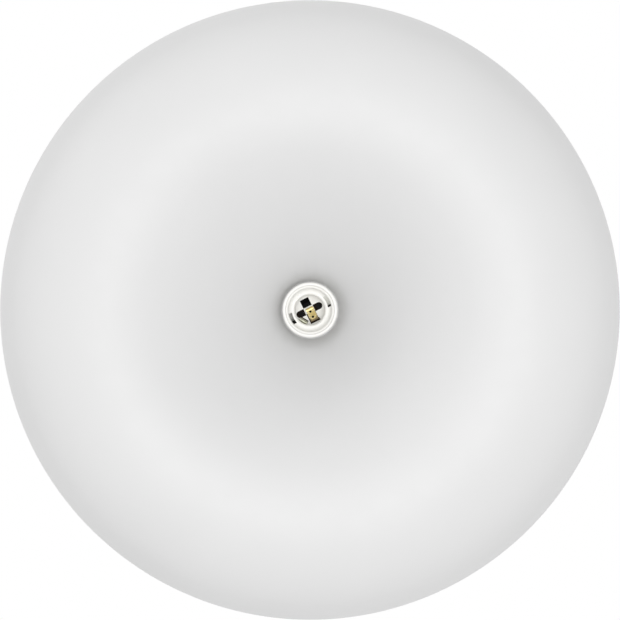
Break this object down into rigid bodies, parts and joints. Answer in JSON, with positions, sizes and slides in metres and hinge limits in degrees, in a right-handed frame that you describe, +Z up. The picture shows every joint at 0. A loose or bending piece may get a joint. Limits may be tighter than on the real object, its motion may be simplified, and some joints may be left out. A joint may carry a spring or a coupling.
{
  "type": "ceiling light",
  "caption": "Round ceiling light with a spun bundt-shaped metal shade, funnel centre and a screw lampholder on a bent strap under a ceiling plate.",
  "frame": {"origin": "centre of the ceiling plate's top face, on the ceiling plane", "axes": "+Z up into the ceiling along the light's axis; the shade and the lampholder's mouth point to -Z; +X runs through the two ceiling slots"},
  "size_m": [0.4999, 0.5, 0.188],
  "materials": {
    "shade_paint": "satin white powder coat on spun aluminium",
    "zinc_steel": "zinc plated",
    "white_moulding": "glossy white thermoplastic",
    "black_moulding": "black phenolic moulding",
    "brass_strip": "bright rolled brass",
    "dark_clamps": "brass blackened by oxide",
    "nickel_strip": "nickel plated spring bronze",
    "dark_screws": "dark passivated steel",
    "plate_paint": "white painted pressed steel",
    "brass_screw": "turned brass",
    "tinned_lug": "tinned copper",
    "bush_rubber": "matt black rubber",
    "block_moulding": "natural white polyamide",
    "brown_wire": "brown insulation",
    "blue_wire": "blue insulation",
    "green_yellow_wire": "green and yellow insulation"
  },
  "bodies": {
    "fixed": {"holder_skirt": "white_moulding", "holder_cap": "black_moulding", "contact_carrier": "white_moulding", "centre_terminal": "dark_clamps", "side_terminal": "dark_clamps", "terminal_screws": "dark_screws", "cap_grub_screw": "dark_screws", "threaded_stem": "zinc_steel", "stem_nut": "zinc_steel", "tooth_washer": "zinc_steel", "holder_strap": "zinc_steel", "ceiling_plate": "plate_paint", "strap_rivets": "zinc_steel", "block_fixing_screw": "zinc_steel", "earth_screw": "brass_screw", "earth_washer": "brass_screw", "earth_lug": "tinned_lug", "cable_bush": "bush_rubber", "terminal_block": "block_moulding", "terminal_inserts": "brass_screw", "terminal_block_screws": "zinc_steel", "live_wire": "brown_wire", "neutral_wire": "blue_wire", "earth_wire": "green_yellow_wire"},
    "shade": {"shade": "shade_paint", "shade_washer": "zinc_steel"},
    "ring": {"shade_ring": "white_moulding"},
    "centre_leaf": {"centre_contact": "brass_strip"},
    "side_leaf": {"side_contact": "nickel_strip"}
  },
  "joints": [
    {"name": "shade_drop", "type": "slide", "parent": "fixed", "child": "shade", "axis": [0, 0, -1], "range_m": [0, 0.0175]},
    {"name": "ring_turn", "type": "hinge", "parent": "shade", "child": "ring", "pos_m": [0, 0, -0.062], "axis": [0, 0, -1], "range_deg": [0, 2521]},
    {"name": "centre_contact_flex", "type": "hinge", "parent": "fixed", "child": "centre_leaf", "pos_m": [0.00408, 0.00825, -0.0452], "axis": [-0.8965, 0.4431, 0], "range_deg": [0, 12], "stiffness_Nm_per_rad": 0.08},
    {"name": "side_contact_flex", "type": "hinge", "parent": "fixed", "child": "side_leaf", "pos_m": [-0.00454, 0.00777, -0.0452], "axis": [0.8634, 0.5045, 0], "range_deg": [0, 9], "stiffness_Nm_per_rad": 0.05}
  ],
  "couplings": [
    {"joint": "ring_turn", "follows": "shade_drop", "rad_per_m": 2513.3}
  ]
}
